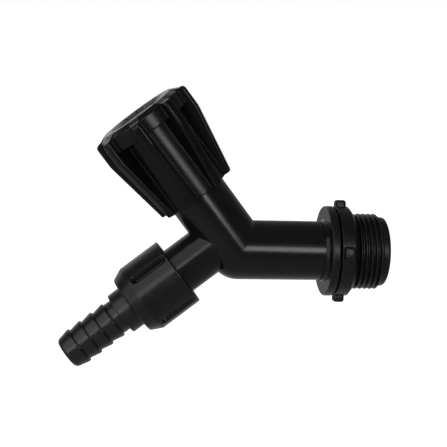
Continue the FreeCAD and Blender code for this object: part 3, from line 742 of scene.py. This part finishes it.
def nut_angles():
    """Angles round the nut, close together over each slot and wider between them."""
    quarter = 2 * math.pi / NUT_SLOT_COUNT
    fine_half = (NUT_SLOT_HALF_WIDTH + NUT_FINE_MARGIN) / NUT_R
    fine = [-fine_half + 2 * fine_half * k / NUT_FINE_STEPS for k in range(NUT_FINE_STEPS + 1)]
    between = quarter - 2 * fine_half
    coarse = [fine_half + between * k / NUT_COARSE_STEPS for k in range(1, NUT_COARSE_STEPS)]
    return [NUT_FIRST_SLOT + quarter * q + a for q in range(NUT_SLOT_COUNT) for a in fine + coarse]


def union_nut():
    """The nut as rings along its profile, with the grip slots pressed into its wall."""
    profile = rounded_profile([
        (NUT_HOLE_R, NUT_INNER_FACE, 0.1), (NUT_POCKET_R, NUT_INNER_FACE, 0),
        (NUT_POCKET_R, NUT_BORE_END, 0), (NUT_BORE_R, NUT_BORE_END, 0),
        (NUT_BORE_R, NUT_BACK, 0.3), (NUT_R, NUT_BACK, NUT_BACK_ROUND),
        (NUT_R, NUT_CONE_START, 0.2), (NUT_NOSE_R, NUT_FRONT, NUT_NOSE_ROUND),
        (NUT_HOLE_R, NUT_FRONT, 0.3),
    ])
    # Extra stations over the slots' stretch, so that their ends are round
    stations = []
    count = len(profile)
    for k, point in enumerate(profile):
        stations.append(point)
        following = profile[(k + 1) % count]
        on_wall = min(point[0], following[0]) > NUT_R - NUT_WALL_MARGIN
        length = abs(following[1] - point[1])
        if on_wall and length > NUT_WALL_SHORTEST:
            steps = int(length / NUT_STATION_STEP)
            for step in range(1, steps):
                stations.append(point.lerp(following, step / steps))
    angles = nut_angles()
    quarter = 2 * math.pi / NUT_SLOT_COUNT
    rings = []
    for radius, station in stations:
        can_be_cut = radius > NUT_NOSE_R + NUT_CUT_ABOVE_NOSE
        ring = []
        for angle in angles:
            from_slot = (angle - NUT_FIRST_SLOT + quarter / 2) % quarter - quarter / 2
            depth = slot_depth(station, from_slot * NUT_R) if can_be_cut else 0
            ring.append(polar(radius - depth, angle, station))
        rings.append(ring)
    vertices, faces = ring_strip(rings, closed_loop=True)
    add_mesh("union_nut_skin", vertices, faces, OUTLET, NUT_PLASTIC, "nut", ("union_nut",))


# Hose tail

def hose_tail():
    """The tail with its flange, collar, barbs with a groove at each foot, and rounded nose."""
    corners = [
        (TAIL_BORE_R, TAIL_FLANGE_BACK, 0.2), (TAIL_FLANGE_R, TAIL_FLANGE_BACK, 0.2),
        (TAIL_FLANGE_R, TAIL_FLANGE_FRONT, 0.2), (TAIL_COLLAR_R, TAIL_FLANGE_FRONT, 0.2),
        (TAIL_COLLAR_R, TAIL_COLLAR_END, 0.45), (BARB_ROOT_R, TAIL_COLLAR_END, 0.2),
    ]
    for k in range(BARB_COUNT):
        crest = BARB_FIRST_CREST + k * BARB_PITCH
        corners += [
            (BARB_ROOT_R, crest - BARB_LAND / 2 - BARB_GROOVE_WIDTH, 0),
            (BARB_ROOT_R - BARB_GROOVE_DEPTH, crest - BARB_LAND / 2, 0),
            (BARB_CREST_R, crest - BARB_LAND / 2, 0.18), (BARB_CREST_R, crest + BARB_LAND / 2, 0.3),
        ]
        if k < BARB_COUNT - 1:
            corners.append((BARB_ROOT_R, crest + BARB_PITCH - BARB_LAND - BARB_GROOVE_WIDTH, 0.3))
    for step in range(TAIL_NOSE_STEPS + 1):
        angle = math.pi / 2 * step / TAIL_NOSE_STEPS
        radius = TAIL_LIP_R + (BARB_ROOT_R - TAIL_LIP_R) * math.cos(angle)
        corners.append((radius, TAIL_END + TAIL_NOSE_ROUND * (math.sin(angle) - 1), 0))
    corners.append((TAIL_BORE_R, TAIL_END - TAIL_MOUTH_CHAMFER, 0))
    vertices, faces = lathe(rounded_profile(corners, hold=0.04), TAIL_SIDES)
    add_mesh("hose_tail_skin", vertices, faces, OUTLET, TAIL_PLASTIC, "tail", ("hose_tail",))


# Stage, lights and camera

def seen_directly(tree, path):
    """1 for the camera's own rays, also through glass, and 0 for all others."""
    return calculate(tree, "MAXIMUM", path["Is Camera Ray"], path["Is Transmission Ray"])


def backdrop_white():
    """White for the camera, a dim room with a bright corner for gloss, and a grey for other light."""
    world = bpy.data.worlds.new("studio")
    bpy.context.scene.world = world
    world.use_nodes = True
    tree = world.node_tree
    path = tree.nodes.new("ShaderNodeLightPath").outputs
    toward = parts_of(tree, tree.nodes.new("ShaderNodeTexCoord").outputs["Generated"])

    ceiling = remap(tree, toward["Z"], *CEILING_RISE, HORIZON_LEVEL, CEILING_LEVEL, smooth=True)
    behind = remap(tree, toward["Y"], *CORNER_BEHIND, smooth=True)
    leftward = remap(tree, toward["X"], *CORNER_LEFT, 0.0, CORNER_LEVEL, smooth=True)
    above = remap(tree, toward["Z"], *CORNER_ABOVE, smooth=True)
    corner = calculate(tree, "MULTIPLY", calculate(tree, "MULTIPLY", behind, leftward), above)
    room = calculate(tree, "MAXIMUM", ceiling, corner)
    for_gloss = calculate(tree, "MULTIPLY", path["Is Glossy Ray"], room)
    shown = calculate(tree, "MAXIMUM", seen_directly(tree, path), for_gloss)

    background = tree.nodes["Background"]
    background.inputs["Color"].default_value = (1, 1, 1, 1)
    feed(tree, background.inputs["Strength"], remap(tree, shown, 0.0, 1.0, AMBIENT_LEVEL, 1.0))


def floor():
    """Pale floor: lifted to white for the camera, and for gloss a painted pool of light, darker the further
    it is from the tap.
    """
    low, high = CAD_BOX
    level = low.z - FLOOR_DROP
    bpy.ops.mesh.primitive_plane_add(size=FLOOR_SIZE, location=(CAMERA_TARGET.x, 0, level))
    plane = bpy.context.object
    plane.name = "floor"
    material, tree, shader, place = new_material("pale floor")
    shader.inputs["Roughness"].default_value = 0.9
    shader.inputs["Specular IOR Level"].default_value = 0.0

    path = tree.nodes.new("ShaderNodeLightPath").outputs
    glossy = path["Is Glossy Ray"]
    seen = calculate(tree, "MAXIMUM", seen_directly(tree, path), glossy)
    lift = calculate(tree, "MULTIPLY", seen, FLOOR_LIFT)

    distance = tree.nodes.new("ShaderNodeVectorMath")
    distance.operation = "LENGTH"
    feed(tree, distance.inputs[0], place)
    # Painted pool of light, seen only in gloss: the floor's glow and colour fall off with distance from the
    # tap.
    loss = remap(tree, distance.outputs["Value"], FLOOR_NEAR, FLOOR_FAR, FLOOR_NEAR_LOSS, FLOOR_FAR_LOSS,
                 smooth=True)
    kept = calculate(tree, "SUBTRACT", 1.0, calculate(tree, "MULTIPLY", loss, glossy))
    shader.inputs["Emission Color"].default_value = (1, 1, 1, 1)
    feed(tree, shader.inputs["Emission Strength"], calculate(tree, "MULTIPLY", lift, kept))

    darker, lighter = [[grey] * 3 for grey in FLOOR_GREYS]
    painted = tree.nodes.new("ShaderNodeVectorMath")
    painted.operation = "SCALE"
    feed(tree, painted.inputs[0], blend(tree, noise(tree, place, FLOOR_NOISE_SCALE), darker, lighter))
    feed(tree, painted.inputs["Scale"], kept)
    feed(tree, shader.inputs["Base Color"], painted.outputs["Vector"])
    plane.data.materials.append(material)


def area_lamp(name, toward, distance, size, power, turn):
    """A rectangular lamp that shines on the tap's middle from the direction given."""
    data = bpy.data.lights.new(name, "AREA")
    data.shape = "RECTANGLE"
    data.size, data.size_y = size
    data.energy = power
    lamp = bpy.data.objects.new(name, data)
    bpy.context.scene.collection.objects.link(lamp)
    direction = Vector(toward).normalized()
    lamp.location = CAMERA_TARGET + direction * distance
    facing = direction.to_track_quat("Z", "Y")
    lamp.rotation_mode = "QUATERNION"
    lamp.rotation_quaternion = facing @ Matrix.Rotation(turn, 3, "Z").to_quaternion()


def lights():
    """The softboxes, all on the camera's side of the tap."""
    for name, (across, rise), distance, size, power, turn in SOFTBOXES:
        forward = -math.sqrt(1 - across ** 2 - rise ** 2)
        area_lamp(name, (across, forward, rise), distance, size, power, math.radians(turn))


def camera():
    """The camera of the photograph, looking at the tap's middle with a slight roll."""
    data = bpy.data.cameras.new("camera")
    data.sensor_width = SENSOR_WIDTH
    data.lens = CAMERA_FOCAL_PIXELS * SENSOR_WIDTH / IMAGE_PIXELS
    data.clip_start, data.clip_end = CAMERA_CLIP
    eye = bpy.data.objects.new("camera", data)
    bpy.context.scene.collection.objects.link(eye)
    forward = Vector((
        math.sin(CAMERA_YAW) * math.cos(CAMERA_PITCH),
        math.cos(CAMERA_YAW) * math.cos(CAMERA_PITCH),
        -math.sin(CAMERA_PITCH),
    ))
    right = forward.cross(Vector((0, 0, 1))).normalized()
    up = right.cross(forward)
    rolled_right = right * math.cos(CAMERA_ROLL) + up * math.sin(CAMERA_ROLL)
    rolled_up = -right * math.sin(CAMERA_ROLL) + up * math.cos(CAMERA_ROLL)
    turn = Matrix((rolled_right, rolled_up, -forward)).transposed().to_4x4()
    eye.matrix_world = Matrix.Translation(CAMERA_TARGET - forward * CAMERA_DISTANCE) @ turn
    bpy.context.scene.camera = eye


bpy.context.scene.view_settings.view_transform = "Standard"
dress_nodes()
knob()
knob_cap()
inlet_adapter()
union_nut()
hose_tail()
backdrop_white()
floor()
lights()
camera()
